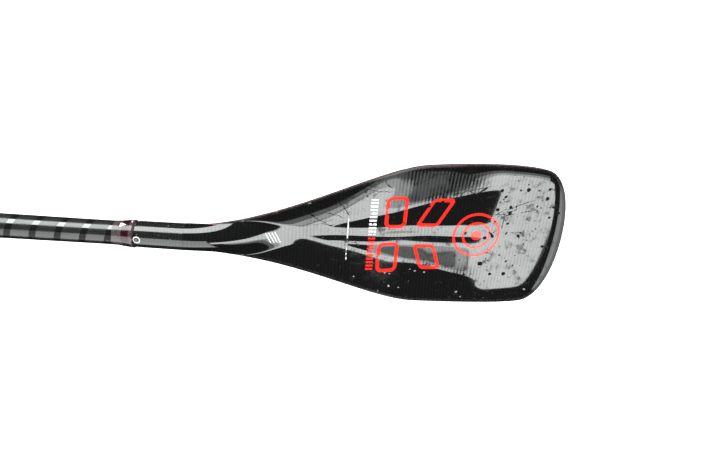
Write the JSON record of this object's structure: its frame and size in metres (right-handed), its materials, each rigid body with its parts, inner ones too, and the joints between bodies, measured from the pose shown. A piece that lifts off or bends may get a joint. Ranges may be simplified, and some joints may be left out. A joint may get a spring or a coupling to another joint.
{
  "type": "adjustable stand-up paddle",
  "caption": "Single-bladed stand-up paddle: raked scooped blade, snap-button blade joint, long round shaft, lever clamp and sliding extension with a T-grip.",
  "frame": {"origin": "on the shaft axis, in the middle of the plain part of the main shaft", "axes": "+X along the shaft towards the blade tip, +Z out of the power face side, +Y to the left when looking from the grip towards the blade with the power face up"},
  "size_m": [1.6693, 0.195, 0.0831],
  "materials": {
    "carbon_gloss": "clear gloss over woven carbon",
    "carbon_satin": "satin carbon with a glossy spiral stripe",
    "foam": "closed-cell foam",
    "rail_black": "hard edge strip",
    "alloy": "machined",
    "seal_rubber": "matt",
    "collar_grey": "polished moulding",
    "band_red": "dark red moulding",
    "spring_steel": "stainless",
    "nylon_black": "fine texture",
    "nylon_pale": "smooth",
    "soft_pad": "soft touch"
  },
  "bodies": {
    "paddle": {"blade_face_skin": "carbon_gloss", "blade_back_skin": "carbon_gloss", "blade_core": "foam", "blade_edge_rail": "rail_black", "neck_tube": "carbon_gloss", "neck_liner": "alloy", "joint_gasket": "seal_rubber", "taper_collar": "collar_grey", "collar_band": "band_red", "main_shaft_tube": "carbon_satin", "spigot": "alloy", "spigot_plug": "seal_rubber", "snap_spring": "spring_steel", "clamp_body": "nylon_black", "clamp_bush": "nylon_pale", "clamp_bolt": "spring_steel", "clamp_washers": "spring_steel", "lever_barrel": "spring_steel"},
    "button": {"snap_button": "spring_steel"},
    "lever": {"clamp_lever": "nylon_black"},
    "extension": {"extension_tube": "carbon_satin", "extension_guide": "nylon_black", "grip_core": "nylon_black", "grip_pad": "soft_pad", "grip_caps": "nylon_black", "grip_pin": "spring_steel"}
  },
  "joints": [
    {"name": "button_press", "type": "slide", "parent": "paddle", "child": "button", "axis": [0, 0, -1], "range_m": [0, 0.0038], "stiffness_N_per_m": 1200, "springref_m": -0.004, "deforming": ["snap_spring"]},
    {"name": "lever_open", "type": "hinge", "parent": "paddle", "child": "lever", "pos_m": [-0.524, 0.022, 0.012], "axis": [-1, 0, 0], "range_deg": [0, 120]},
    {"name": "extension_slide", "type": "slide", "parent": "paddle", "child": "extension", "axis": [-1, 0, 0], "range_m": [0, 0.4]}
  ]
}
